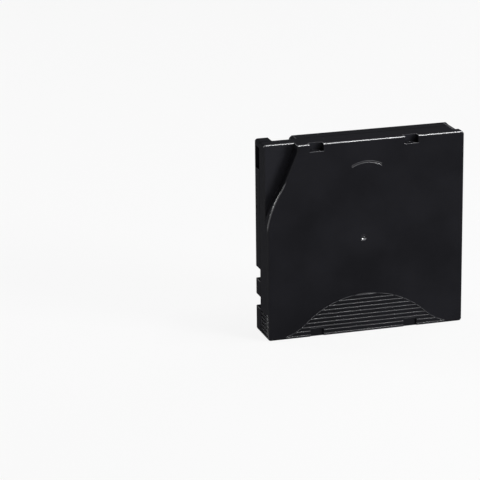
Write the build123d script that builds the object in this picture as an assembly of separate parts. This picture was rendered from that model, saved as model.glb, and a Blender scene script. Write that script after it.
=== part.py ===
from build123d import *
import math
import os

# Half-inch tape cleaning cartridge, in millimetres.
# It is drawn lying flat on its hub side: x runs from the left side to the door side,
# y from the rear side (0) to the front side, z from the hub side (0) to the top side.
# At the end it is stood on its rear side, with the top side facing -Y and the front side up.

# Case
CASE_WIDTH = 105.4
CASE_DEPTH = 102.0
CASE_THICKNESS = 21.5
WALL = 1.8
FLOOR = 1.8
ROOF = 1.8
PARTING = 7.8
CORNER_RADIUS = 1.4
INNER_CORNER_RADIUS = 0.3
EDGE_ROUNDING = 0.9
SEAM_CHAMFER = 0.15
POCKET_WALL = 1.0

# How far joined bodies reach into each other, how far a cut runs past a face,
# and how far an outline is carried outside the case
WELD = 0.2
PAST = 1.0
OUTSIDE = 10.0

# Clearances
SLIDE_GAP = 0.3
FIT_GAP = 0.08
FACE_GAP = 0.05

# Reel, turning about an axis that stands a little left of and behind the middle
REEL_X = -1.4
REEL_BEHIND_MIDDLE = 0.4
FLANGE_ROOM = 1.0
FLANGE_THICKNESS = 1.0
HUB_RADIUS = 22.0
HUB_WALL = 1.9
HUB_REGISTER = 0.9
WEB_THICKNESS = 2.0
TAPE_WIDTH = 12.65
TAPE_SIDE_GAP = 0.15
TAPE_LENGTH = 319000.0
TAPE_THICKNESS = 0.009
LEADER_THICKNESS = 0.2

# Hub opening in the floor and the raised ring that the reel rests on
OPENING_ROOM = 0.5
OPENING_CHAMFER = 0.6
REST_RING_WIDTH = 2.4
REST_RING_HEIGHT = 1.2

# Drive teeth under the hub, and the steel plate inside them
DRIVE_TEETH = 60
DRIVE_TOOTH_FROM_LEGS = 0.6
DRIVE_TOOTH_LENGTH = 3.2
DRIVE_TOOTH_HEIGHT = 1.4
DRIVE_BOSS_DROP = 1.0
DRIVE_BOSS_MARGIN = 0.4
DRIVE_TOOTH_BASE_SHARE = 0.86
DRIVE_TOOTH_TIP_SHARE = 0.3
CLUTCH_ROOM = 0.5
CLUTCH_INNER_RADIUS = 6.0
CLUTCH_THICKNESS = 1.2
CLUTCH_PEG_RADIUS = 0.9

# Brake
BRAKE_TEETH = 36
BRAKE_TOOTH_HEIGHT = 1.3
BRAKE_TOOTH_BASE_SHARE = 0.58
BRAKE_TOOTH_TIP_SHARE = 0.16
BRAKE_TOOTH_MARGIN = 0.1
BRAKE_RING_WIDTH = 2.3
BRAKE_RING_HEIGHT = 0.9
BRAKE_MESH_GAP = 0.35
BRAKE_LIFT = 1.8
BRAKE_DISC_THICKNESS = 1.5
BRAKE_POST_RADIUS = 6.2
BRAKE_POST_HEIGHT = 6.9
BRAKE_DOME_RADIUS = 4.0
KEY_BORE_RADIUS = 3.6
KEY_WING_REACH = 4.9
KEY_WING_WIDTH = 1.8
SPRING_SEAT_DEPTH = 0.3
BRAKE_SPRING_MEAN_RADIUS = 8.6
BRAKE_SPRING_WIRE_RADIUS = 0.45
BRAKE_SPRING_TURNS = 5
BRAKE_SPRING_STEPS = 16

# Release pad with three legs that pass through the hub
PAD_LEGS = 3
PAD_THICKNESS = 1.2
PAD_CORNER_RADIUS = 2.2
LEG_RING_ROOM = 1.35
LEG_DEPTH = 1.9
LEG_WIDTH = 2.6
LEG_HOLE_GAP = 0.3
LEG_TIP_SETBACK = 0.3
PAD_RIM = 0.3

# Front-left guide recess: a floor below the top side, bounded by a circle about the reel axis,
# a slope above it and a short wall square to the front side
GUIDE_FLOOR = 15.8
GUIDE_ROOM = 3.0
GUIDE_SLOPE_ANGLE = 66.7
GUIDE_WALL_FROM_LEFT = 15.95
GUIDE_WALL_LENGTH = 3.4

# Notches across the front and rear edges of the top side
EDGE_NOTCH_FROM_LEFT = 26.2
EDGE_NOTCH_FROM_RIGHT = 28.5
EDGE_NOTCH_WIDTH = 7.4
FRONT_NOTCH_LENGTH = 3.9
FRONT_NOTCH_DEPTH = 3.4
REAR_NOTCH_LENGTH = 4.4
REAR_NOTCH_DEPTH = 1.2

# Fan of stepped finger ribs at the rear of the top side
FAN_STEPS = 10
FAN_FIRST = 1.2
FAN_PITCH = 2.1
FAN_STEP_DEPTH = 0.7
FAN_CROWN_HEIGHT = 20.5
FAN_SHOULDER_FROM_FOOT = 14.1
FAN_SHOULDER_HEIGHT = 7.5
FAN_FOOT_FROM_SIDE = 6.2

# Small marks in the top side
GATE_RADIUS = 1.5
GATE_DEPTH = 0.6
GATE_NUB_RADIUS = 0.5
GATE_NUB_HEIGHT = 0.25
ARC_MARK_X = 0.2
ARC_MARK_FROM_FRONT = 27.5
ARC_MARK_RADIUS = 16.1
ARC_MARK_HALF_ANGLE = 29.5
ARC_MARK_WIDTH = 0.8
ARC_MARK_DEPTH = 0.45

# Grip slots on both sides of the top shell
GRIP_SLOTS = 6
GRIP_FIRST = 1.5
GRIP_PITCH = 2.1
GRIP_SLOT_WIDTH = 1.1
GRIP_SLOT_DEPTH = 0.7
GRIP_LOW = 9.0
GRIP_HIGH = 21.0

# Handling notches in the sides of the bottom shell
SIDE_NOTCH_REAR = (13.1, 19.8)
SIDE_NOTCH_MIDDLE = (27.9, 34.6)
SIDE_NOTCH_DEPTH = 3.2
SIDE_POCKET_FROM_FRONT = (15.0, 3.0)
SIDE_POCKET_SKIN = 1.0
FRONT_POCKET_FROM_LEFT = (6.8, 18.3)
FRONT_POCKET_DEPTH = 3.2
FRONT_POCKET_CHAMFER = 1.5

# Label recess and tab window in the rear side
LABEL_RECESS_DEPTH = 0.3
LABEL_RECESS_FROM_LEFT = 20.7
LABEL_RECESS_FROM_RIGHT = 3.7
LABEL_RECESS_MARGIN = 2.2
TAB_WINDOW_FROM_LEFT = 5.7
TAB_WINDOW_HALF_HEIGHT = 3.2
TAB_NUB_LENGTH = 4.8
TAB_TRAVEL = 4.2
TAB_PLATE_MARGIN = 0.9
TAB_PLATE_THICKNESS = 1.2
TAB_NUB_SETBACK = 0.4
TAB_GROOVE_WIDTH = 1.0
TAB_GROOVE_DEPTH = 0.6
TAB_RAIL_THICKNESS = 1.0

# Door on the right side, near the front, and its spring
DOOR_THICKNESS = 1.5
DOOR_TRAVEL = 32.0
DOOR_HEAD_CLEARANCE = 1.4
DOOR_OVERLAP = 2.0
DOOR_HEAD_LENGTH = 3.7
DOOR_HEAD_INSET = 0.3
DOOR_CORNER_CUT = 2.3
DOOR_FOOT_DEPTH = 1.0
DOOR_FOOT_SETBACK = 2.0
DOOR_FOOT_LENGTH = 6.0
DOOR_FOOT_HEIGHT = 1.5
DOOR_LINTEL_LAP = 1.4
RAIL_THICKNESS = 0.7
RAIL_HEIGHT = 2.1
DOOR_SPRING_RADIUS = 1.1
DOOR_SPRING_WIRE_RADIUS = 0.2
DOOR_SPRING_TURNS = 15
DOOR_SPRING_STEPS = 8
DOOR_PEG_RADIUS = 0.7
DOOR_PEG_LENGTH = 3.0
SPRING_STOP_FROM_NOTCH = 1.0
SPRING_STOP_THICKNESS = 1.2
SPRING_STOP_HEIGHT = 4.4

# Leader pin, its clamp, seats and leaf springs
PIN_FROM_DOOR = 4.7
PIN_FROM_FRONT = 8.0
PIN_RADIUS = 0.95
PIN_END_RADIUS = 2.4
PIN_END_THICKNESS = 1.0
PIN_NECK_RADIUS = 1.3
PIN_NECK_LENGTH = 0.8
PIN_COLLAR_RADIUS = 1.9
PIN_COLLAR_THICKNESS = 0.4
PIN_CLAMP_RADIUS = 1.9
SEAT_HEIGHT = 2.0
SEAT_BACK = 4.0
SEAT_HALF_WIDTH = 3.6
SEAT_LIP = 1.6
LEAF_THICKNESS = 0.25
LEAF_HEIGHT = 1.3
LEAF_ARM = 6.8
LEAF_FROM_WALL = 1.6
LEAF_CLIP_LENGTH = 2.2
LEAF_CLIP_WALL = 1.1
LEAF_BEND_RADIUS = 1.2
LEAF_KICK = (0.35, -1.2)

# Case screws, by how far they stand from the sides, the front side and the rear side
FRONT_LEFT_SCREW = (7.2, 15.5)
FRONT_RIGHT_SCREW = (19.7, 5.4)
REAR_RIGHT_SCREW = (18.7, 5.0)
REAR_LEFT_SCREW = (19.7, 5.0)
SCREW_BOSS_RADIUS = 2.8
SCREW_HEAD_RADIUS = 2.0
SCREW_HEAD_THICKNESS = 1.3
SCREW_SHANK_RADIUS = 1.0
SCREW_LENGTH = 10.0
SCREW_TIP_ROOM = 0.5
SCREW_SEAT = 2.2
SCREW_SLOT_LENGTH = 2.8
SCREW_SLOT_WIDTH = 0.5
SCREW_SLOT_DEPTH = 0.6

# Memory board across the rear-right corner
BOARD_FROM_RIGHT = 7.5
BOARD_Y = 7.2
BOARD_LENGTH = 12.0
BOARD_THICKNESS = 0.8
BOARD_HEIGHT = 13.5
BOARD_POST = 2.4
BOARD_POST_HEIGHT = 2.4
CHIP_RADIUS = 2.4
CHIP_THICKNESS = 0.6

# Worked-out places
LEFT = -CASE_WIDTH / 2
RIGHT = CASE_WIDTH / 2
INNER_LEFT = LEFT + WALL
INNER_RIGHT = RIGHT - WALL
INNER_FRONT = CASE_DEPTH - WALL
CEILING = CASE_THICKNESS - ROOF
GUIDE_UNDERSIDE = GUIDE_FLOOR - ROOF
EDGE_NOTCH_CENTRES = (LEFT + EDGE_NOTCH_FROM_LEFT, RIGHT - EDGE_NOTCH_FROM_RIGHT)
FAN_FOOT = (RIGHT - FAN_FOOT_FROM_SIDE, FAN_FIRST / 2)
FAN_SHOULDER = (FAN_FOOT[0] - FAN_SHOULDER_FROM_FOOT, FAN_SHOULDER_HEIGHT)
SIDE_POCKET = tuple(CASE_DEPTH - reach for reach in SIDE_POCKET_FROM_FRONT)
FRONT_POCKET = tuple(LEFT + reach for reach in FRONT_POCKET_FROM_LEFT)
SCREW_PLACES = (
    (LEFT + FRONT_LEFT_SCREW[0], CASE_DEPTH - FRONT_LEFT_SCREW[1]),
    (RIGHT - FRONT_RIGHT_SCREW[0], CASE_DEPTH - FRONT_RIGHT_SCREW[1]),
    (RIGHT - REAR_RIGHT_SCREW[0], REAR_RIGHT_SCREW[1]),
    (LEFT + REAR_LEFT_SCREW[0], REAR_LEFT_SCREW[1]),
)
BOARD_X = RIGHT - BOARD_FROM_RIGHT

REST_RING_TOP = FLOOR + REST_RING_HEIGHT
REEL_BOTTOM = REST_RING_TOP + SLIDE_GAP
LOWER_FLANGE_TOP = REEL_BOTTOM + FLANGE_THICKNESS
TAPE_BOTTOM = LOWER_FLANGE_TOP + TAPE_SIDE_GAP
TAPE_TOP = TAPE_BOTTOM + TAPE_WIDTH
UPPER_FLANGE_BOTTOM = TAPE_TOP + TAPE_SIDE_GAP
UPPER_FLANGE_TOP = UPPER_FLANGE_BOTTOM + FLANGE_THICKNESS
TAPE_RADIUS = math.sqrt(HUB_RADIUS**2 + TAPE_LENGTH * TAPE_THICKNESS / math.pi)
CUP_RADIUS = HUB_RADIUS - HUB_WALL
WEB_TOP = REEL_BOTTOM + WEB_THICKNESS
BRAKE_RING_OUTER = CUP_RADIUS - SLIDE_GAP
BRAKE_RING_INNER = BRAKE_RING_OUTER - BRAKE_RING_WIDTH
BRAKE_TOOTH_INNER = BRAKE_RING_INNER + BRAKE_TOOTH_MARGIN
BRAKE_TOOTH_OUTER = BRAKE_RING_OUTER - BRAKE_TOOTH_MARGIN
LEG_CIRCLE = BRAKE_RING_INNER - LEG_RING_ROOM - LEG_HOLE_GAP - LEG_DEPTH / 2
DRIVE_BOSS_BOTTOM = REEL_BOTTOM - DRIVE_BOSS_DROP
DRIVE_TOOTH_TIP = DRIVE_BOSS_BOTTOM - DRIVE_TOOTH_HEIGHT
DRIVE_TOOTH_INNER = LEG_CIRCLE + DRIVE_TOOTH_FROM_LEGS - DRIVE_TOOTH_LENGTH / 2
DRIVE_TOOTH_OUTER = DRIVE_TOOTH_INNER + DRIVE_TOOTH_LENGTH
DRIVE_BOSS_INNER = DRIVE_TOOTH_INNER - DRIVE_BOSS_MARGIN
DRIVE_BOSS_OUTER = DRIVE_TOOTH_OUTER + DRIVE_BOSS_MARGIN
OPENING_RADIUS = DRIVE_BOSS_OUTER + OPENING_ROOM
CLUTCH_OUTER_RADIUS = DRIVE_BOSS_INNER - CLUTCH_ROOM
CLUTCH_PEG_CIRCLE = (CLUTCH_OUTER_RADIUS + CLUTCH_INNER_RADIUS) / 2
BRAKE_ROOT = WEB_TOP + BRAKE_RING_HEIGHT
BRAKE_DISC_BOTTOM = BRAKE_ROOT + BRAKE_TOOTH_HEIGHT + BRAKE_MESH_GAP
BRAKE_DISC_TOP = BRAKE_DISC_BOTTOM + BRAKE_DISC_THICKNESS
PAD_BOTTOM = WEB_TOP + SLIDE_GAP
PAD_TOP = PAD_BOTTOM + PAD_THICKNESS
KEY_BOTTOM = BRAKE_DISC_TOP + BRAKE_LIFT + SLIDE_GAP
TAB_MIDDLE = PARTING
TAB_WINDOW_LEFT = LEFT + TAB_WINDOW_FROM_LEFT
TAB_NUB_X = (TAB_WINDOW_LEFT + SLIDE_GAP, TAB_WINDOW_LEFT + SLIDE_GAP + TAB_NUB_LENGTH)
TAB_WINDOW_X = (TAB_WINDOW_LEFT, TAB_NUB_X[1] + TAB_TRAVEL + SLIDE_GAP)
DOOR_OUTER = INNER_RIGHT - SLIDE_GAP
DOOR_INNER = DOOR_OUTER - DOOR_THICKNESS
DOOR_FRONT = CASE_DEPTH - DOOR_HEAD_INSET
DOOR_WINDOW_REAR = DOOR_FRONT - DOOR_HEAD_LENGTH - DOOR_TRAVEL - DOOR_HEAD_CLEARANCE
DOOR_REAR = DOOR_WINDOW_REAR - DOOR_OVERLAP
DOOR_BOTTOM = FLOOR + SLIDE_GAP
DOOR_TOP = GUIDE_FLOOR + DOOR_LINTEL_LAP
RAIL_OUTER = DOOR_INNER - DOOR_FOOT_DEPTH - SLIDE_GAP
PIN_X = DOOR_INNER - PIN_FROM_DOOR
PIN_Y = CASE_DEPTH - PIN_FROM_FRONT
LEAF_ANCHOR_X = PIN_X - LEAF_ARM
LEAF_RUN_Y = INNER_FRONT - LEAF_FROM_WALL
RAIL_FRONT = PIN_Y - SEAT_HALF_WIDTH - SLIDE_GAP
DOOR_SPRING_REAR = SIDE_NOTCH_REAR[1] + POCKET_WALL + SPRING_STOP_FROM_NOTCH + SPRING_STOP_THICKNESS
DOOR_SPRING_X = INNER_RIGHT - SLIDE_GAP - DOOR_SPRING_RADIUS - DOOR_SPRING_WIRE_RADIUS
DOOR_SPRING_Z = DOOR_BOTTOM + DOOR_SPRING_RADIUS + DOOR_SPRING_WIRE_RADIUS
PIN_BOTTOM = FLOOR + SLIDE_GAP
PIN_TOP = CEILING - SLIDE_GAP

# The reel fills the room between the door rail and the walls
REEL_Y = CASE_DEPTH / 2 - REEL_BEHIND_MIDDLE
ROOM_ACROSS = min(RAIL_OUTER - RAIL_THICKNESS - REEL_X, REEL_X - INNER_LEFT)
REEL_REACH = min(ROOM_ACROSS, REEL_Y - WALL, INNER_FRONT - REEL_Y)
FLANGE_RADIUS = REEL_REACH - FLANGE_ROOM
GUIDE_RADIUS = FLANGE_RADIUS + GUIDE_ROOM + WALL


def block(x, y, z):
    """A box between the low and high value of each axis."""
    size = Box(x[1] - x[0], y[1] - y[0], z[1] - z[0])
    return Pos((x[0] + x[1]) / 2, (y[0] + y[1]) / 2, (z[0] + z[1]) / 2) * size


def disc(radius, low, high, x=0.0, y=0.0):
    """A round bar along z."""
    return Pos(x, y, (low + high) / 2) * Cylinder(radius, high - low)


def tube(outer, inner, low, high, x=0.0, y=0.0):
    """A ring along z."""
    return disc(outer, low, high, x, y) - disc(inner, low - PAST, high + PAST, x, y)


def prism(outline, low, high):
    """A flat outline raised from one height to another."""
    return Pos(0, 0, low) * extrude(outline, high - low)


def on_reel(shape):
    """Moves a shape drawn about the origin to the reel's axis."""
    return Pos(REEL_X, REEL_Y, 0) * shape


def case_outline(inset=0.0):
    """The case seen from the top, with its rounded corners."""
    radius = max(CORNER_RADIUS - inset, INNER_CORNER_RADIUS)
    sheet = RectangleRounded(CASE_WIDTH - 2 * inset, CASE_DEPTH - 2 * inset, radius)
    return Pos(0, CASE_DEPTH / 2) * sheet


def guide_area(grow=0.0):
    """What lies outside the circle about the reel axis, and left of the slope and the short wall."""
    slope = math.radians(GUIDE_SLOPE_ANGLE)
    corner_x = LEFT + GUIDE_WALL_FROM_LEFT + grow
    corner_y = CASE_DEPTH - GUIDE_WALL_LENGTH - grow * (1 - math.sin(slope)) / math.cos(slope)

    # The slope ends inside the circle, where it is nearest to the axis
    run = (corner_x - REEL_X) * math.cos(slope) + (corner_y - REEL_Y) * math.sin(slope)
    end_x, end_y = corner_x - run * math.cos(slope), corner_y - run * math.sin(slope)
    far_x, far_y = LEFT - OUTSIDE, CASE_DEPTH + OUTSIDE
    corner = Polygon(
        (end_x, end_y),
        (corner_x, corner_y),
        (corner_x, far_y),
        (far_x, far_y),
        (far_x, REEL_Y),
        (end_x, REEL_Y),
        align=None,
    )
    return corner - on_reel(Circle(GUIDE_RADIUS - grow))


def edges_at(shape, height):
    """The edges that lie wholly at one height."""
    return shape.edges().filter_by_position(Axis.Z, height, height)


def on_rim(point):
    """Whether a point lies on the outside of the case at its front side or front-left corner."""
    at_front = point.Y > CASE_DEPTH - CORNER_RADIUS / 2
    at_left = point.X < LEFT + CORNER_RADIUS / 2
    return at_front or (at_left and point.Y > REEL_Y)


def grip_slots():
    """Short slots across both sides of the top shell, near the rear."""
    slots = []
    for n in range(GRIP_SLOTS):
        start = GRIP_FIRST + n * GRIP_PITCH
        span = (start, start + GRIP_SLOT_WIDTH)
        slots.append(block((LEFT - PAST, LEFT + GRIP_SLOT_DEPTH), span, (GRIP_LOW, GRIP_HIGH)))
        slots.append(block((RIGHT - GRIP_SLOT_DEPTH, RIGHT + PAST), span, (GRIP_LOW, GRIP_HIGH)))
    return slots


def fan_area():
    """The fan's plan: a round crown that flares into the rear edge on both sides."""
    shoulder_x, shoulder_y = FAN_SHOULDER
    rise = FAN_CROWN_HEIGHT - shoulder_y
    crown_radius = (shoulder_x**2 + rise**2) / (2 * rise)
    fall = (crown_radius - rise, -shoulder_x)
    crown = ThreePointArc((-shoulder_x, shoulder_y), (0, FAN_CROWN_HEIGHT), FAN_SHOULDER)
    right_flare = TangentArc(FAN_SHOULDER, FAN_FOOT, tangent=fall)
    left_flare = mirror(right_flare, Plane.YZ)
    foot_x, foot_y = FAN_FOOT
    base = Polyline(FAN_FOOT, (foot_x, -PAST), (-foot_x, -PAST), (-foot_x, foot_y))
    return make_face([crown, right_flare, base, left_flare])


def fan_steps():
    """Louvre steps: each is deepest at its lower line and runs out at the next line."""
    steps = []
    for n in range(FAN_STEPS):
        low = FAN_FIRST + n * FAN_PITCH
        wedge = Polygon(
            (low, CASE_THICKNESS - FAN_STEP_DEPTH),
            (low + FAN_PITCH, CASE_THICKNESS),
            (low + FAN_PITCH, CASE_THICKNESS + PAST),
            (low, CASE_THICKNESS + PAST),
            align=None,
        )
        steps.append(extrude(Plane.YZ * wedge, CASE_WIDTH / 2, both=True))
    cutter = Part() + steps
    return cutter & prism(fan_area(), CASE_THICKNESS - FAN_STEP_DEPTH - PAST, CASE_THICKNESS + PAST)


def arc_mark():
    """A thin curved groove near the front of the top side."""
    low, high = CASE_THICKNESS - ARC_MARK_DEPTH, CASE_THICKNESS + PAST
    outer = ARC_MARK_RADIUS + ARC_MARK_WIDTH / 2
    band = tube(outer, outer - ARC_MARK_WIDTH, low, high)
    reach = 2 * ARC_MARK_RADIUS
    spread = reach * math.tan(math.radians(ARC_MARK_HALF_ANGLE))
    sector = Polygon((0, 0), (spread, reach), (-spread, reach), align=None)
    return Pos(ARC_MARK_X, CASE_DEPTH - ARC_MARK_FROM_FRONT, 0) * (band & prism(sector, low, high))


def gate_mark():
    """The dished mark where the plastic was fed in, with the torn-off feed left in its middle."""
    dish_radius = (GATE_RADIUS**2 + GATE_DEPTH**2) / (2 * GATE_DEPTH)
    low = CASE_THICKNESS - GATE_DEPTH
    dish = Pos(0, 0, low + dish_radius) * Sphere(dish_radius)
    ring = disc(GATE_RADIUS, low, CASE_THICKNESS) - disc(GATE_NUB_RADIUS, 0, low + GATE_NUB_HEIGHT)
    return dish & ring


def key_cross(gap):
    """The cross-shaped key that stops the brake from turning, drawn about the origin."""
    radius = KEY_BORE_RADIUS - gap
    wing = KEY_WING_WIDTH / 2 - gap
    reach = KEY_WING_REACH - gap
    return Circle(radius) + Rectangle(2 * reach, 2 * wing) + Rectangle(2 * wing, 2 * reach)


def pin_seat(low, high):
    """A block with a round seat for one end of the leader pin, open towards the door."""
    radius = PIN_END_RADIUS + SLIDE_GAP
    across = (PIN_Y - SEAT_HALF_WIDTH, PIN_Y + SEAT_HALF_WIDTH)
    through = (low - PAST, high + PAST)
    seat = block((PIN_X - SEAT_BACK, PIN_X + SEAT_LIP), across, (low, high))
    seat -= disc(radius, *through, PIN_X, PIN_Y)
    return seat - block((PIN_X, PIN_X + SEAT_LIP + PAST), (PIN_Y - radius, PIN_Y + radius), through)


def leaf_clip(low, high):
    """Two low ribs that hold the fixed end of a leader pin spring."""
    start = LEAF_ANCHOR_X - LEAF_CLIP_WALL
    span = (LEAF_RUN_Y - LEAF_CLIP_WALL, INNER_FRONT + WELD)
    clip = block((start, LEAF_ANCHOR_X + LEAF_CLIP_LENGTH), span, (low, high))
    slot = (LEAF_RUN_Y - FIT_GAP, LEAF_RUN_Y + LEAF_THICKNESS + FIT_GAP)
    along = (LEAF_ANCHOR_X - FIT_GAP, LEAF_ANCHOR_X + LEAF_CLIP_LENGTH + PAST)
    return clip - block(along, slot, (low - PAST, high + PAST))


def make_top_shell():
    outline = case_outline()
    shell = prism(outline, PARTING, GUIDE_FLOOR) + prism(outline - guide_area(), GUIDE_FLOOR, CASE_THICKNESS)
    shell = fillet(edges_at(shell, CASE_THICKNESS), EDGE_ROUNDING)
    guide_rim = edges_at(shell, GUIDE_FLOOR).filter_by(lambda e: on_rim(e.center()))
    shell = fillet(guide_rim, EDGE_ROUNDING)
    shell = chamfer(edges_at(shell, PARTING), SEAM_CHAMFER)
    shell -= prism(case_outline(WALL), PARTING - PAST, GUIDE_UNDERSIDE)
    shell -= prism(case_outline(WALL) - guide_area(WALL), GUIDE_UNDERSIDE - PAST, CEILING)

    # Lids over the notches and pockets of the bottom shell
    lid = (PARTING, PARTING + POCKET_WALL)
    notch_in = LEFT + SIDE_NOTCH_DEPTH + POCKET_WALL
    for low, high in (SIDE_NOTCH_REAR, SIDE_NOTCH_MIDDLE, SIDE_POCKET):
        shell += block((INNER_LEFT - WELD, notch_in), (low - POCKET_WALL, high + POCKET_WALL), lid)
    low, high = SIDE_NOTCH_REAR
    shell += block((-notch_in, INNER_RIGHT + WELD), (low - POCKET_WALL, high + POCKET_WALL), lid)
    pocket_in = CASE_DEPTH - FRONT_POCKET_DEPTH - POCKET_WALL
    low, high = FRONT_POCKET
    shell += block((low - POCKET_WALL, high + POCKET_WALL), (pocket_in, INNER_FRONT + WELD), lid)

    # Notches across the front and rear edges
    for x in EDGE_NOTCH_CENTRES:
        span = (x - EDGE_NOTCH_WIDTH / 2, x + EDGE_NOTCH_WIDTH / 2)
        walls = (span[0] - POCKET_WALL, span[1] + POCKET_WALL)
        floor = CASE_THICKNESS - FRONT_NOTCH_DEPTH
        start = CASE_DEPTH - FRONT_NOTCH_LENGTH
        behind = (start - POCKET_WALL, INNER_FRONT + WELD)
        shell += block(walls, behind, (floor - POCKET_WALL, CEILING + WELD))
        shell -= block(span, (start, CASE_DEPTH + PAST), (floor, CASE_THICKNESS + PAST))
    shell -= fan_steps()
    for x in EDGE_NOTCH_CENTRES:
        span = (x - EDGE_NOTCH_WIDTH / 2, x + EDGE_NOTCH_WIDTH / 2)
        floor = CASE_THICKNESS - REAR_NOTCH_DEPTH
        shell -= block(span, (-PAST, REAR_NOTCH_LENGTH), (floor, CASE_THICKNESS + PAST))

    shell -= grip_slots()
    shell -= arc_mark()
    shell -= on_reel(gate_mark())

    # Brake key, pin seat, leaf spring clip and door rail under the roof
    shell += on_reel(prism(key_cross(FIT_GAP), KEY_BOTTOM, CEILING + WELD))
    shell += pin_seat(CEILING - SEAT_HEIGHT, CEILING + WELD)
    shell += leaf_clip(CEILING - SEAT_HEIGHT, CEILING + WELD)
    rail_x = (RAIL_OUTER - RAIL_THICKNESS, RAIL_OUTER)
    shell += block(rail_x, (DOOR_SPRING_REAR, RAIL_FRONT), (CEILING - RAIL_HEIGHT, CEILING + WELD))

    # Door window, up to the lintel
    shell -= door_window(PARTING - PAST, GUIDE_FLOOR)

    # Screw bosses
    for x, y in SCREW_PLACES:
        under_guide = x < REEL_X and y > REEL_Y
        top = GUIDE_UNDERSIDE if under_guide else CEILING
        shell += disc(SCREW_BOSS_RADIUS, PARTING, top + WELD, x, y)
        hole_top = SCREW_SEAT + SCREW_LENGTH + SCREW_TIP_ROOM
        shell -= disc(SCREW_SHANK_RADIUS + FIT_GAP, PARTING - PAST, hole_top, x, y)

    return shell - rear_details()


def door_window(low, high):
    """The opening that the door closes, at the front-right corner."""
    return block((DOOR_INNER - SLIDE_GAP, RIGHT + PAST), (DOOR_WINDOW_REAR, CASE_DEPTH + PAST), (low, high))


def rear_details():
    """Cuts in the rear side: the shallow label recess and the window of the tab."""
    label_z = (LABEL_RECESS_MARGIN, CASE_THICKNESS - LABEL_RECESS_MARGIN)
    label_x = (LEFT + LABEL_RECESS_FROM_LEFT, RIGHT - LABEL_RECESS_FROM_RIGHT)
    label = block(label_x, (-PAST, LABEL_RECESS_DEPTH), label_z)
    window_z = (TAB_MIDDLE - TAB_WINDOW_HALF_HEIGHT, TAB_MIDDLE + TAB_WINDOW_HALF_HEIGHT)
    return label + block(TAB_WINDOW_X, (-PAST, WALL + WELD), window_z)


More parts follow.
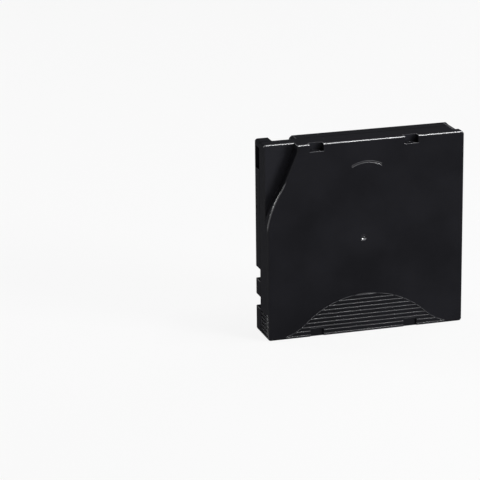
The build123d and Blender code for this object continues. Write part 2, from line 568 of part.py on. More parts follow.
def make_bottom_shell():
    shell = prism(case_outline(), 0, PARTING)
    shell = fillet(edges_at(shell, 0), EDGE_ROUNDING)
    shell = chamfer(edges_at(shell, PARTING), SEAM_CHAMFER)
    shell -= prism(case_outline(WALL), FLOOR, PARTING + PAST)

    # Raised ring round the hub opening
    shell += on_reel(disc(OPENING_RADIUS + REST_RING_WIDTH, FLOOR - WELD, REST_RING_TOP))
    shell -= on_reel(disc(OPENING_RADIUS, -PAST, REST_RING_TOP + PAST))
    mouth = Cone(OPENING_RADIUS + OPENING_CHAMFER, OPENING_RADIUS, OPENING_CHAMFER)
    shell -= on_reel(Pos(0, 0, OPENING_CHAMFER / 2) * mouth)

    # Handling notches with their inner walls
    notch_in = LEFT + SIDE_NOTCH_DEPTH
    walls_x = (INNER_LEFT - WELD, notch_in + POCKET_WALL)
    walls_z = (FLOOR - WELD, PARTING)
    sides = ((SIDE_NOTCH_REAR, 1), (SIDE_NOTCH_MIDDLE, 1), (SIDE_NOTCH_REAR, -1))
    for (low, high), side in sides:
        walls = block(walls_x, (low - POCKET_WALL, high + POCKET_WALL), walls_z)
        opening = block((LEFT - PAST, notch_in), (low, high), (-PAST, PARTING + PAST))
        if side < 0:
            walls = mirror(walls, Plane.YZ)
            opening = mirror(opening, Plane.YZ)
        shell = shell + walls - opening

    # Pockets near the front-left corner
    low, high = SIDE_POCKET
    shell += block(walls_x, (low - POCKET_WALL, high + POCKET_WALL), walls_z)
    shell -= block((LEFT - PAST, notch_in), (low, high), (SIDE_POCKET_SKIN, PARTING + PAST))
    low, high = FRONT_POCKET
    pocket_in = CASE_DEPTH - FRONT_POCKET_DEPTH
    behind = (pocket_in - POCKET_WALL, INNER_FRONT + WELD)
    shell += block((low - POCKET_WALL, high + POCKET_WALL), behind, walls_z)
    shell -= block((low, high), (pocket_in, CASE_DEPTH + PAST), (-PAST, PARTING + PAST))
    slope = Polygon(
        (high - WELD, CASE_DEPTH - FRONT_POCKET_CHAMFER - WELD),
        (high + FRONT_POCKET_CHAMFER + PAST, CASE_DEPTH + PAST),
        (high - WELD, CASE_DEPTH + PAST),
        align=None,
    )
    shell -= prism(slope, -PAST, PARTING + PAST)

    # Door window and cut corner
    shell -= door_window(FLOOR, PARTING + PAST)
    shell -= corner_cut(-PAST, FLOOR + PAST)

    # Door rail, spring stop, pin seat and leaf spring clip on the floor
    rail_x = (RAIL_OUTER - RAIL_THICKNESS, RAIL_OUTER)
    shell += block(rail_x, (DOOR_SPRING_REAR, RAIL_FRONT), (FLOOR - WELD, FLOOR + RAIL_HEIGHT))
    stop_y = (DOOR_SPRING_REAR - SPRING_STOP_THICKNESS, DOOR_SPRING_REAR)
    stop_x = (RAIL_OUTER - RAIL_THICKNESS, INNER_RIGHT + WELD)
    shell += block(stop_x, stop_y, (FLOOR - WELD, FLOOR + SPRING_STOP_HEIGHT))
    shell += pin_seat(FLOOR - WELD, FLOOR + SEAT_HEIGHT)
    shell += leaf_clip(FLOOR - WELD, FLOOR + SEAT_HEIGHT)

    # Rail behind the write-protect tab
    rail_y = WALL + SLIDE_GAP + TAB_PLATE_THICKNESS + SLIDE_GAP
    rail_x = (INNER_LEFT - WELD, TAB_WINDOW_X[1] + TAB_PLATE_MARGIN)
    shell += block(rail_x, (rail_y, rail_y + TAB_RAIL_THICKNESS), (FLOOR - WELD, PARTING))
    shell += block(rail_x, (WALL - WELD, rail_y + WELD), (FLOOR - WELD, tab_plate_z()[0] - SLIDE_GAP))

    # Slotted posts that hold the memory board
    shell += board_posts()

    # Screw bosses with counterbores
    for x, y in SCREW_PLACES:
        shell += disc(SCREW_BOSS_RADIUS, FLOOR - WELD, PARTING, x, y)
        shell -= disc(SCREW_SHANK_RADIUS + SLIDE_GAP, -PAST, PARTING + PAST, x, y)
        shell -= disc(SCREW_HEAD_RADIUS + SLIDE_GAP, -PAST, SCREW_SEAT, x, y)

    return shell - rear_details()


def corner_cut(low, high):
    """A prism that cuts the front-right corner at 45 degrees."""
    reach = DOOR_CORNER_CUT
    corner = Polygon(
        (RIGHT - reach, CASE_DEPTH),
        (RIGHT, CASE_DEPTH - reach),
        (RIGHT + PAST, CASE_DEPTH - reach),
        (RIGHT + PAST, CASE_DEPTH + PAST),
        (RIGHT - reach, CASE_DEPTH + PAST),
        align=None,
    )
    return prism(corner, low, high)


def board_frame():
    """Where the memory board stands: its x along the board and y out to the corner."""
    return Pos(BOARD_X, BOARD_Y, 0) * Rot(0, 0, 45)


def board_posts():
    posts = Part()
    for side in (-1, 1):
        middle = side * (BOARD_LENGTH - BOARD_POST) / 2
        span = (middle - BOARD_POST / 2, middle + BOARD_POST / 2)
        posts += block(span, (-BOARD_POST / 2, BOARD_POST / 2), (FLOOR - WELD, FLOOR + BOARD_POST_HEIGHT))
    reach = BOARD_LENGTH / 2 + PAST
    half_slot = BOARD_THICKNESS / 2 + FIT_GAP
    posts -= block((-reach, reach), (-half_slot, half_slot), (FLOOR, FLOOR + BOARD_POST_HEIGHT + PAST))
    return board_frame() * posts


def tooth(inner, outer, root_share, tip_share, teeth, root, tip):
    """One face tooth with flat flanks, which narrows towards the axis. Shares are of the pitch."""
    taper = (root_share - tip_share) * math.pi * (inner + outer) / 2 / teeth
    faces = []
    for radius in (inner, outer):
        root_half = root_share * math.pi * radius / teeth
        tip_half = root_half - taper
        plane = Plane(origin=(radius, 0, 0), x_dir=(0, 1, 0), z_dir=(1, 0, 0))
        corners = (-root_half, root), (root_half, root), (tip_half, tip), (-tip_half, tip)
        faces.append(plane * Polygon(*corners, align=None))
    return loft(faces, ruled=True)


def leg_angles():
    return [n * 360 / PAD_LEGS for n in range(PAD_LEGS)]


def peg_angles():
    """Midway between the legs."""
    return [turn + 180 / PAD_LEGS for turn in leg_angles()]


def make_reel_hub():
    hub = disc(FLANGE_RADIUS, REEL_BOTTOM, LOWER_FLANGE_TOP)
    hub += disc(HUB_RADIUS, LOWER_FLANGE_TOP - WELD, UPPER_FLANGE_BOTTOM)
    hub += disc(HUB_RADIUS - HUB_REGISTER, UPPER_FLANGE_BOTTOM - WELD, UPPER_FLANGE_TOP)
    hub -= disc(CUP_RADIUS, WEB_TOP, UPPER_FLANGE_TOP + PAST)
    hub += tube(BRAKE_RING_OUTER, BRAKE_RING_INNER, WEB_TOP - WELD, BRAKE_ROOT)
    hub += tube(DRIVE_BOSS_OUTER, DRIVE_BOSS_INNER, DRIVE_BOSS_BOTTOM, REEL_BOTTOM + WELD)

    brake_tooth = tooth(
        BRAKE_TOOTH_INNER, BRAKE_TOOTH_OUTER, BRAKE_TOOTH_BASE_SHARE, BRAKE_TOOTH_TIP_SHARE,
        BRAKE_TEETH, BRAKE_ROOT, BRAKE_ROOT + BRAKE_TOOTH_HEIGHT,
    )
    hub += [Rot(0, 0, n * 360 / BRAKE_TEETH) * brake_tooth for n in range(BRAKE_TEETH)]

    # Drive teeth leave a gap at each leg hole
    drive_tooth = tooth(
        DRIVE_TOOTH_INNER, DRIVE_TOOTH_OUTER, DRIVE_TOOTH_BASE_SHARE, DRIVE_TOOTH_TIP_SHARE,
        DRIVE_TEETH, DRIVE_BOSS_BOTTOM, DRIVE_TOOTH_TIP,
    )
    pitch = 360 / DRIVE_TEETH
    hole_half_angle = math.degrees((LEG_WIDTH / 2 + LEG_HOLE_GAP) / DRIVE_TOOTH_INNER)
    for n in range(DRIVE_TEETH):
        turn = (n + 0.5) * pitch
        from_leg = min(abs((turn - leg + 180) % 360 - 180) for leg in leg_angles())
        if from_leg > hole_half_angle + pitch / 2:
            hub += Rot(0, 0, turn) * drive_tooth
    half_depth = LEG_DEPTH / 2 + LEG_HOLE_GAP
    half_width = LEG_WIDTH / 2 + LEG_HOLE_GAP
    leg_hole = block(
        (LEG_CIRCLE - half_depth, LEG_CIRCLE + half_depth),
        (-half_width, half_width),
        (DRIVE_TOOTH_TIP - PAST, WEB_TOP + PAST),
    )
    hub -= [Rot(0, 0, turn) * leg_hole for turn in leg_angles()]

    # Pegs that hold the clutch plate
    peg = disc(CLUTCH_PEG_RADIUS, REEL_BOTTOM - CLUTCH_THICKNESS, REEL_BOTTOM + WELD, CLUTCH_PEG_CIRCLE)
    hub += [Rot(0, 0, turn) * peg for turn in peg_angles()]
    return on_reel(hub)


def make_upper_flange():
    bore = HUB_RADIUS - HUB_REGISTER + FACE_GAP
    return on_reel(tube(FLANGE_RADIUS, bore, UPPER_FLANGE_BOTTOM, UPPER_FLANGE_TOP))


def make_clutch_plate():
    low, high = REEL_BOTTOM - CLUTCH_THICKNESS, REEL_BOTTOM
    plate = tube(CLUTCH_OUTER_RADIUS, CLUTCH_INNER_RADIUS, low, high)
    hole = disc(CLUTCH_PEG_RADIUS + FACE_GAP, low - PAST, high + PAST, CLUTCH_PEG_CIRCLE)
    return on_reel(plate - [Rot(0, 0, turn) * hole for turn in peg_angles()])


def make_tape_pack():
    return on_reel(tube(TAPE_RADIUS, HUB_RADIUS + FACE_GAP, TAPE_BOTTOM, TAPE_TOP))


def make_brake_button():
    button = disc(BRAKE_RING_OUTER, BRAKE_DISC_BOTTOM, BRAKE_DISC_TOP)
    post_top = BRAKE_DISC_TOP + BRAKE_POST_HEIGHT
    button += disc(BRAKE_POST_RADIUS, BRAKE_DISC_TOP - WELD, post_top)
    button -= prism(key_cross(0), BRAKE_DISC_TOP, post_top + PAST)
    seat_outer = BRAKE_SPRING_MEAN_RADIUS + 2 * BRAKE_SPRING_WIRE_RADIUS
    seat_inner = BRAKE_SPRING_MEAN_RADIUS - 2 * BRAKE_SPRING_WIRE_RADIUS
    button -= tube(seat_outer, seat_inner, BRAKE_DISC_TOP - SPRING_SEAT_DEPTH, BRAKE_DISC_TOP + PAST)
    dome = Pos(0, 0, PAD_TOP + SLIDE_GAP + BRAKE_DOME_RADIUS) * Sphere(BRAKE_DOME_RADIUS)
    button += dome & disc(BRAKE_DOME_RADIUS, PAD_TOP, BRAKE_DISC_BOTTOM + WELD)
    brake_tooth = tooth(
        BRAKE_TOOTH_INNER, BRAKE_TOOTH_OUTER, BRAKE_TOOTH_BASE_SHARE, BRAKE_TOOTH_TIP_SHARE,
        BRAKE_TEETH, BRAKE_DISC_BOTTOM, BRAKE_DISC_BOTTOM - BRAKE_TOOTH_HEIGHT,
    )
    button += [Rot(0, 0, (n + 0.5) * 360 / BRAKE_TEETH) * brake_tooth for n in range(BRAKE_TEETH)]
    return on_reel(button)


def coil(mean_radius, wire_radius, length, turns, steps):
    """A spring along z from z = 0, whose turns are short straight runs of six-sided wire."""
    runs = turns * steps
    corners = []
    for n in range(runs + 1):
        turn = 2 * math.pi * n / steps
        corners.append((mean_radius * math.cos(turn), mean_radius * math.sin(turn), length * n / runs))
    path = Polyline(*corners)
    section = Plane(origin=path @ 0, z_dir=path % 0) * RegularPolygon(wire_radius, 6)
    return sweep(section, path=path, transition=Transition.RIGHT)


def make_brake_spring():
    low = BRAKE_DISC_TOP - SPRING_SEAT_DEPTH + BRAKE_SPRING_WIRE_RADIUS + FACE_GAP
    high = CEILING - BRAKE_SPRING_WIRE_RADIUS - FACE_GAP
    spring = coil(
        BRAKE_SPRING_MEAN_RADIUS, BRAKE_SPRING_WIRE_RADIUS, high - low, BRAKE_SPRING_TURNS, BRAKE_SPRING_STEPS
    )
    return on_reel(Pos(0, 0, low) * spring)


def make_brake_release_pad():
    corner_reach = LEG_CIRCLE + LEG_DEPTH / 2 + PAD_RIM
    sharp_reach = corner_reach + PAD_CORNER_RADIUS
    plan = RegularPolygon(sharp_reach, 3, rotation=0)
    plan = fillet(plan.vertices(), PAD_CORNER_RADIUS)
    pad = prism(plan, PAD_BOTTOM, PAD_TOP)
    leg_bottom = DRIVE_TOOTH_TIP + LEG_TIP_SETBACK
    for turn in leg_angles():
        leg = block(
            (LEG_CIRCLE - LEG_DEPTH / 2, LEG_CIRCLE + LEG_DEPTH / 2),
            (-LEG_WIDTH / 2, LEG_WIDTH / 2),
            (leg_bottom, PAD_BOTTOM + WELD),
        )
        pad += Rot(0, 0, turn) * leg
    return on_reel(pad)


def leader_line():
    """From the leader pin: the direction to where the film meets the pack, and its length."""
    away_x, away_y = REEL_X - PIN_X, REEL_Y - PIN_Y
    distance = math.hypot(away_x, away_y)
    radius = TAPE_RADIUS + FACE_GAP + LEADER_THICKNESS / 2
    turn = math.atan2(away_y, away_x) + math.asin(radius / distance)
    return math.degrees(turn), math.sqrt(distance**2 - radius**2)


def make_tape_leader():
    turn, length = leader_line()
    start = PIN_RADIUS + FACE_GAP
    film = Box(length - start, LEADER_THICKNESS, TAPE_WIDTH)
    film = Pos((length + start) / 2, 0, (TAPE_BOTTOM + TAPE_TOP) / 2) * film
    return Pos(PIN_X, PIN_Y, 0) * Rot(0, 0, turn) * film


def make_leader_pin():
    levels = (
        (PIN_END_RADIUS, PIN_END_THICKNESS),
        (PIN_NECK_RADIUS, PIN_NECK_LENGTH),
        (PIN_COLLAR_RADIUS, PIN_COLLAR_THICKNESS),
    )
    pin = disc(PIN_RADIUS, PIN_BOTTOM, PIN_TOP)
    from_end = 0.0
    for radius, thickness in levels:
        pin += disc(radius, PIN_BOTTOM + from_end, PIN_BOTTOM + from_end + thickness)
        pin += disc(radius, PIN_TOP - from_end - thickness, PIN_TOP - from_end)
        from_end += thickness
    return Pos(PIN_X, PIN_Y, 0) * pin


def make_leader_pin_clamp():
    turn, _ = leader_line()
    clamp = tube(PIN_CLAMP_RADIUS, PIN_RADIUS + FACE_GAP, TAPE_BOTTOM, TAPE_TOP)
    slot = LEADER_THICKNESS + 2 * FACE_GAP
    reach = (0, PIN_CLAMP_RADIUS + PAST)
    clamp -= Rot(0, 0, turn) * block(reach, (-slot / 2, slot / 2), (TAPE_BOTTOM - PAST, TAPE_TOP + PAST))
    return Pos(PIN_X, PIN_Y, 0) * clamp


def make_pin_spring(low):
    """A steel leaf that runs along the front wall and hooks round one end of the leader pin."""
    hook = PIN_END_RADIUS + FACE_GAP
    path = FilletPolyline(
        (LEAF_ANCHOR_X, LEAF_RUN_Y),
        (PIN_X + hook, LEAF_RUN_Y),
        (PIN_X + hook, PIN_Y),
        (PIN_X + hook + LEAF_KICK[0], PIN_Y + LEAF_KICK[1]),
        radius=LEAF_BEND_RADIUS,
    )
    leaf = offset(path, LEAF_THICKNESS, side=Side.LEFT)
    return prism(make_face(leaf), low, low + LEAF_HEIGHT)


def make_door():
    door = block((DOOR_INNER, DOOR_OUTER), (DOOR_REAR, DOOR_FRONT), (DOOR_BOTTOM, DOOR_TOP))
    head_top = GUIDE_FLOOR - SLIDE_GAP
    head_y = (DOOR_FRONT - DOOR_HEAD_LENGTH, DOOR_FRONT)
    step_y = (INNER_FRONT - SLIDE_GAP, CASE_DEPTH)
    door -= block((DOOR_INNER - PAST, RIGHT), step_y, (head_top, DOOR_TOP + PAST))
    door += block((DOOR_INNER, RIGHT - DOOR_HEAD_INSET), head_y, (DOOR_BOTTOM, head_top))
    door -= Pos(-DOOR_HEAD_INSET / 2, -DOOR_HEAD_INSET / 2, 0) * corner_cut(0, head_top + WELD)
    for start in (DOOR_WINDOW_REAR + DOOR_FOOT_SETBACK, PIN_Y - DOOR_FOOT_LENGTH):
        foot = (DOOR_INNER - DOOR_FOOT_DEPTH, DOOR_INNER + WELD)
        door += block(foot, (start, start + DOOR_FOOT_LENGTH), (DOOR_BOTTOM, DOOR_BOTTOM + DOOR_FOOT_HEIGHT))
    peg = Pos(DOOR_SPRING_X, DOOR_REAR, DOOR_SPRING_Z) * Rot(90, 0, 0)
    return door + peg * disc(DOOR_PEG_RADIUS, -WELD, DOOR_PEG_LENGTH)


def make_door_spring():
    reach = DOOR_SPRING_WIRE_RADIUS + FACE_GAP
    length = DOOR_REAR - DOOR_SPRING_REAR - 2 * reach
    spring = coil(DOOR_SPRING_RADIUS, DOOR_SPRING_WIRE_RADIUS, length, DOOR_SPRING_TURNS, DOOR_SPRING_STEPS)
    return Pos(DOOR_SPRING_X, DOOR_SPRING_REAR + reach, DOOR_SPRING_Z) * Rot(-90, 0, 0) * spring


def tab_plate_z():
    reach = TAB_WINDOW_HALF_HEIGHT - SLIDE_GAP + TAB_PLATE_MARGIN
    return TAB_MIDDLE - reach, TAB_MIDDLE + reach


def make_write_protect_tab():
    nub_z = (TAB_MIDDLE - TAB_WINDOW_HALF_HEIGHT + SLIDE_GAP, TAB_MIDDLE + TAB_WINDOW_HALF_HEIGHT - SLIDE_GAP)
    plate_y = (WALL + SLIDE_GAP, WALL + SLIDE_GAP + TAB_PLATE_THICKNESS)
    low, high = TAB_NUB_X
    tab = block((low - TAB_PLATE_MARGIN, high + TAB_PLATE_MARGIN), plate_y, tab_plate_z())
    tab += block(TAB_NUB_X, (TAB_NUB_SETBACK, plate_y[1]), nub_z)
    groove = ((low + high - TAB_GROOVE_WIDTH) / 2, (low + high + TAB_GROOVE_WIDTH) / 2)
    return tab - block(groove, (-PAST, TAB_NUB_SETBACK + TAB_GROOVE_DEPTH), nub_z)


def make_memory_board():
    middle = FLOOR + SLIDE_GAP + BOARD_HEIGHT / 2
    return board_frame() * Pos(0, 0, middle) * Box(BOARD_LENGTH, BOARD_THICKNESS, BOARD_HEIGHT)


def make_memory_chip():
    middle = FLOOR + SLIDE_GAP + BOARD_HEIGHT / 2
    face = Pos(0, BOARD_THICKNESS / 2 + CHIP_THICKNESS / 2, middle) * Rot(90, 0, 0)
    return board_frame() * face * Cylinder(CHIP_RADIUS, CHIP_THICKNESS)


def make_case_screws():
    screws = []
    for x, y in SCREW_PLACES:
        screw = disc(SCREW_HEAD_RADIUS, SCREW_SEAT - SCREW_HEAD_THICKNESS, SCREW_SEAT, x, y)
        screw += disc(SCREW_SHANK_RADIUS, SCREW_SEAT - WELD, SCREW_SEAT + SCREW_LENGTH, x, y)
        low = SCREW_SEAT - SCREW_HEAD_THICKNESS
        for turn in (45, 135):
            slot = Box(SCREW_SLOT_LENGTH, SCREW_SLOT_WIDTH, 2 * SCREW_SLOT_DEPTH)
            screw -= Pos(x, y, low) * Rot(0, 0, turn) * slot
        screws.append(screw)
    return Part() + screws


pieces = {
    "top_shell": make_top_shell(),
    "bottom_shell": make_bottom_shell(),
    "case_screws": make_case_screws(),
    "reel_hub": make_reel_hub(),
    "upper_flange": make_upper_flange(),
    "clutch_plate": make_clutch_plate(),
    "tape_pack": make_tape_pack(),
    "brake_button": make_brake_button(),
    "brake_spring": make_brake_spring(),
    "brake_release_pad": make_brake_release_pad(),
    "tape_leader": make_tape_leader(),
    "leader_pin": make_leader_pin(),
    "leader_pin_clamp": make_leader_pin_clamp(),
    "pin_spring_lower": make_pin_spring(PIN_BOTTOM),
    "pin_spring_upper": make_pin_spring(PIN_TOP - LEAF_HEIGHT),
    "door": make_door(),
    "door_spring": make_door_spring(),
    "write_protect_tab": make_write_protect_tab(),
    "memory_board": make_memory_board(),
    "memory_chip": make_memory_chip(),
}

# Stood on the rear side, with the top side facing -Y
stand = Location((0, CASE_THICKNESS / 2, 0), (90, 0, 0))
os.makedirs("parts", exist_ok=True)
for name, piece in pieces.items():
    export_step(piece.moved(stand), f"parts/{name}.step")
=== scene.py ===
import math

import bpy
import numpy as np
from bpy.props import FloatProperty, FloatVectorProperty, IntProperty, PointerProperty
from bpy.types import Operator, Panel, PropertyGroup
from mathutils import Matrix, Vector


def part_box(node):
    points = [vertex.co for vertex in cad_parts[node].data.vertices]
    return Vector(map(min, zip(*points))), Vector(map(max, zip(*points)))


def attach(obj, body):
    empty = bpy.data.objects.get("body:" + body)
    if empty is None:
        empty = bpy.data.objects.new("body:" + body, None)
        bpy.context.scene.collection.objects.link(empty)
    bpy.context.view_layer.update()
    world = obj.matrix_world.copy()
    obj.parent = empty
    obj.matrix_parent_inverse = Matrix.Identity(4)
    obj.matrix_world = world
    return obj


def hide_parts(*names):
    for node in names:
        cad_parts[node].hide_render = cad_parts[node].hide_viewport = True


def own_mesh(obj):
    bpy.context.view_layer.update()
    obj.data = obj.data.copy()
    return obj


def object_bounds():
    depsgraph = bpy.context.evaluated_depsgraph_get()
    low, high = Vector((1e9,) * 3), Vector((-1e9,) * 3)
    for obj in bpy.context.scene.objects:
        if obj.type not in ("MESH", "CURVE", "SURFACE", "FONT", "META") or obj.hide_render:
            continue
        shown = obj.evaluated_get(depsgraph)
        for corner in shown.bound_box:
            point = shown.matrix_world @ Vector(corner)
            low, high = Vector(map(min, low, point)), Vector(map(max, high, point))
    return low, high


bl_info = {
    "name": "Tape drive cleaning cartridge",
    "version": (1, 0, 0),
    "blender": (4, 5, 0),
    "location": "View3D > Sidebar > Cartridge",
    "description": "Finishes, springs, film and stage for a tape drive cleaning cartridge",
    "category": "Object",
}

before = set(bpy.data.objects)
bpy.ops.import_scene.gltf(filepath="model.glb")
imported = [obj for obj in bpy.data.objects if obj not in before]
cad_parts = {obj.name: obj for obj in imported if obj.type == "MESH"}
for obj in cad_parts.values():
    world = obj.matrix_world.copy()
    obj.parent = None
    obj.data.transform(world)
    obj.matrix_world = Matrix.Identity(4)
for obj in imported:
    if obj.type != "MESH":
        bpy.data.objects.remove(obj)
CAD_BOX = [list(corner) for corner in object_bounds()]

MM = 0.001

# The view of the photograph: degrees to the right, down and rolled, and the camera's place
CAMERA_TURN = (16.33, 17.0, -0.708)
CAMERA_PLACE = (-0.39419, -1.12661, 0.41124)
# The point that the lamps face
LAMP_AIM = (0, 0, 0.05)
# How much of the floor and backdrop is seen as plain white, and the even light round the object
FLOOR_WHITE_SHARE = 0.88
SURROUND_LIGHT = 0.28

# Radii of the springs' wire, steps along one turn, and how slowly the end turns rise
BRAKE_WIRE = 0.45 * MM
DOOR_WIRE = 0.2 * MM
TURN_STEPS = 40
END_RATE = 0.25

# How many times as bright moulded plastic is painted: on edges (wear and painted highlight), on
# sunk floors (painted light), in corners (painted shade) and at the seam
EDGE_WEAR_AND_HIGHLIGHT = 4.6
SUNK_FLOOR_PAINTED_LIGHT = 1.6
CORNER_PAINTED_SHADE = 0.3
SEAM_SHADE = 0.5


def linear(code):
    """An sRGB hex colour as linear red, green and blue."""
    parts = [int(code[n:n + 2], 16) / 255 for n in (0, 2, 4)]
    return tuple(c / 12.92 if c <= 0.04045 else ((c + 0.055) / 1.055) ** 2.4 for c in parts)


def middle_of(node):
    """The middle of a CAD node's box."""
    low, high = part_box(node)
    return (low + high) / 2


# The planes square to Y of the top side and of the joint between the shells
TOP_SIDE = CAD_BOX[0][1]
SHELL_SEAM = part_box("bottom_shell")[0].y
# The reel's axis, which the gate of the top shell is on
REEL_AXIS = middle_of("clutch_plate")
# The leader's path is an arc about that axis, outside the flange by its room and a wall
PATH_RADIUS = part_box("upper_flange")[1].x - REEL_AXIS.x + (3.0 + 1.8) * MM


# Sizes and colours that a user would change
class CaseSettings(PropertyGroup):
    shell_colour: FloatVectorProperty(
        name="Shell colour", description="Colour of both case shells",
        subtype="COLOR", default=linear("19191C"))
    door_colour: FloatVectorProperty(
        name="Door colour", description="Colour of the sliding door",
        subtype="COLOR", default=linear("1A1A1D"))
    tab_colour: FloatVectorProperty(
        name="Tab colour", description="Colour of the write-protect tab",
        subtype="COLOR", default=linear("74767A"))
    grain: FloatProperty(
        name="Grain", description="Width of one grain of the eroded mould texture",
        subtype="DISTANCE", default=0.35 * MM, min=0.05 * MM, max=2 * MM)
    lip: FloatProperty(
        name="Lip", description="Radius by which a moulded edge is softened",
        subtype="DISTANCE", default=0.2 * MM, min=0.0, max=1 * MM)


class ReelSettings(PropertyGroup):
    reel_colour: FloatVectorProperty(
        name="Reel colour", description="Colour of the hub and flanges",
        subtype="COLOR", default=linear("D6D6D0"))
    brake_colour: FloatVectorProperty(
        name="Brake colour", description="Colour of the brake button",
        subtype="COLOR", default=linear("E0DDD0"))
    pad_colour: FloatVectorProperty(
        name="Pad colour", description="Colour of the brake release pad",
        subtype="COLOR", default=linear("50555A"))
    film_colour: FloatVectorProperty(
        name="Film colour", description="Colour of the cleaning film",
        subtype="COLOR", default=linear("2A221C"))


class SpringSettings(PropertyGroup):
    brake_turns: FloatProperty(
        name="Brake spring turns", description="Turns of the brake spring",
        default=5.0, min=2.0, max=12.0)
    door_turns: FloatProperty(
        name="Door spring turns", description="Turns of the door spring",
        default=15.0, min=4.0, max=40.0)
    sides: IntProperty(
        name="Wire facets", description="Facets round the wire", default=14, min=6, max=32)
    wire_colour: FloatVectorProperty(
        name="Wire colour", description="Colour of the spring wire",
        subtype="COLOR", default=linear("B4B5B8"))


class StageSettings(PropertyGroup):
    lens: FloatProperty(
        name="Lens", description="Focal length of the camera",
        subtype="DISTANCE_CAMERA", default=181.6, min=20.0)
    floor_colour: FloatVectorProperty(
        name="Floor colour", description="Colour of the floor and backdrop",
        subtype="COLOR", default=linear("D0D0D0"))
    softbox_power: FloatProperty(
        name="Softbox power", description="Power of the overhead softbox",
        subtype="POWER", default=4.2, min=0.0)
    key_power: FloatProperty(
        name="Key power", description="Power of the light from the right",
        subtype="POWER", default=18.0, min=0.0)
    back_power: FloatProperty(
        name="Back power", description="Power of the light behind on the right",
        subtype="POWER", default=5.0, min=0.0)
    left_power: FloatProperty(
        name="Left power", description="Power of the light behind on the left",
        subtype="POWER", default=9.0, min=0.0)


# Nodes
def add_node(tree, kind, sockets=None, **settings):
    """Adds one node, sets its attributes, and fills its inputs or links them to outputs."""
    node = tree.nodes.new(kind)
    for name, value in settings.items():
        setattr(node, name, value)
    for name, value in (sockets or {}).items():
        if isinstance(value, bpy.types.NodeSocket):
            tree.links.new(value, node.inputs[name])
        else:
            node.inputs[name].default_value = value
    return node


def new_material(name, base, roughness, specular=0.5, metallic=0.0):
    """A material with its shader, its tree and a texture coordinate on the object."""
    material = bpy.data.materials.new(name)
    material.use_nodes = True
    tree = material.node_tree
    shader = tree.nodes["Principled BSDF"]
    shader.inputs["Base Color"].default_value = (*base, 1)
    shader.inputs["Roughness"].default_value = roughness
    shader.inputs["Specular IOR Level"].default_value = specular
    shader.inputs["Metallic"].default_value = metallic
    place = add_node(tree, "ShaderNodeTexCoord").outputs["Object"]
    return material, tree, shader, place


def link(tree, source, shader, socket):
    """Links one output to a socket of the shader."""
    tree.links.new(source, shader.inputs[socket])


def noise(tree, place, size, detail=2.0, roughness=0.5):
    """Noise whose blotches are about one size wide, in metres."""
    sockets = {"Vector": place, "Scale": 1 / size, "Detail": detail, "Roughness": roughness}
    return add_node(tree, "ShaderNodeTexNoise", sockets).outputs["Fac"]


def remap(tree, value, start, end, low, high):
    """Turns a value between start and end into one between low and high, smoothly."""
    sockets = {"Value": value, "From Min": start, "From Max": end, "To Min": low, "To Max": high}
    node = add_node(tree, "ShaderNodeMapRange", sockets, interpolation_type="SMOOTHSTEP")
    return node.outputs["Result"]


def calculate(tree, operation, first, second=0.0):
    """One sum on one or two values."""
    return add_node(tree, "ShaderNodeMath", {0: first, 1: second}, operation=operation).outputs[0]


def all_of(tree, *shares):
    """The product of some shares: near 1 only where all of them are."""
    product = shares[0]
    for share in shares[1:]:
        product = calculate(tree, "MULTIPLY", product, share)
    return product


def part_of(tree, vector, axis):
    """One part of a vector: X, Y or Z."""
    return add_node(tree, "ShaderNodeSeparateXYZ", {0: vector}).outputs[axis]


def combine(tree, operation, first, second):
    """One sum on two vectors."""
    return add_node(tree, "ShaderNodeVectorMath", {0: first, 1: second}, operation=operation)


def blend_colours(tree, share, first, second):
    """The first colour where share is 0 and the second where it is 1."""
    ends = [end if isinstance(end, bpy.types.NodeSocket) else (*end, 1) for end in (first, second)]
    mix = add_node(tree, "ShaderNodeMix", {0: share, 6: ends[0], 7: ends[1]}, data_type="RGBA")
    return mix.outputs[2]


def lighter(colour, factor):
    """A colour times a factor, which darkens it under 1."""
    return tuple(min(1.0, c * factor) for c in colour)


def round_axis(tree, place, centre):
    """The distance from an axis along Y through a centre."""
    moved = combine(tree, "SUBTRACT", place, centre).outputs[0]
    flat = combine(tree, "MULTIPLY", moved, (1.0, 0.0, 1.0)).outputs[0]
    return add_node(tree, "ShaderNodeVectorMath", {0: flat}, operation="LENGTH").outputs["Value"]


def ring_noise(tree, radius, width, detail):
    """Noise in rings about an axis, each about one width wide."""
    sockets = {"W": radius, "Scale": 1 / width, "Detail": detail}
    return add_node(tree, "ShaderNodeTexNoise", sockets, noise_dimensions="1D").outputs["Fac"]


def link_bump(tree, height, distance, strength, shader):
    """Raises the surface by a pattern, up to a distance."""
    sockets = {"Height": height, "Distance": distance, "Strength": strength}
    link(tree, add_node(tree, "ShaderNodeBump", sockets).outputs[0], shader, "Normal")


# Where the moulded plastic is glossed and painted paler (wear, painted highlight, painted light
# on sunk floors), or darker at the seam
def rounded_rims(tree, normal):
    """Near 1 on rounded rims, which lie between a flat square to Y and a wall, and 0 on both."""
    tilt = calculate(tree, "ABSOLUTE", part_of(tree, normal, "Y"))
    off_wall = remap(tree, tilt, 0.1, 0.3, 0.0, 1.0)
    off_flat = remap(tree, tilt, 0.965, 0.9, 0.0, 1.0)
    return all_of(tree, off_wall, off_flat)


def leader_arc_highlight(tree, place):
    """Half by the arc along which the leader runs out, above the reel on its left, or 0: a painted
    highlight along that arc's edge.
    """
    from_arc = calculate(tree, "SUBTRACT", round_axis(tree, place, REEL_AXIS), PATH_RADIUS)
    on_arc = remap(tree, calculate(tree, "ABSOLUTE", from_arc), 0.2 * MM, 0.7 * MM, 0.5, 0.0)
    fade_start, fade_end = REEL_AXIS.x - 39 * MM, REEL_AXIS.x - 29 * MM
    left = remap(tree, part_of(tree, place, "X"), fade_start, fade_end, 1.0, 0.0)
    ahead = remap(tree, part_of(tree, place, "Z"), REEL_AXIS.z, REEL_AXIS.z + 10 * MM, 0.0, 1.0)
    return all_of(tree, left, ahead, on_arc)


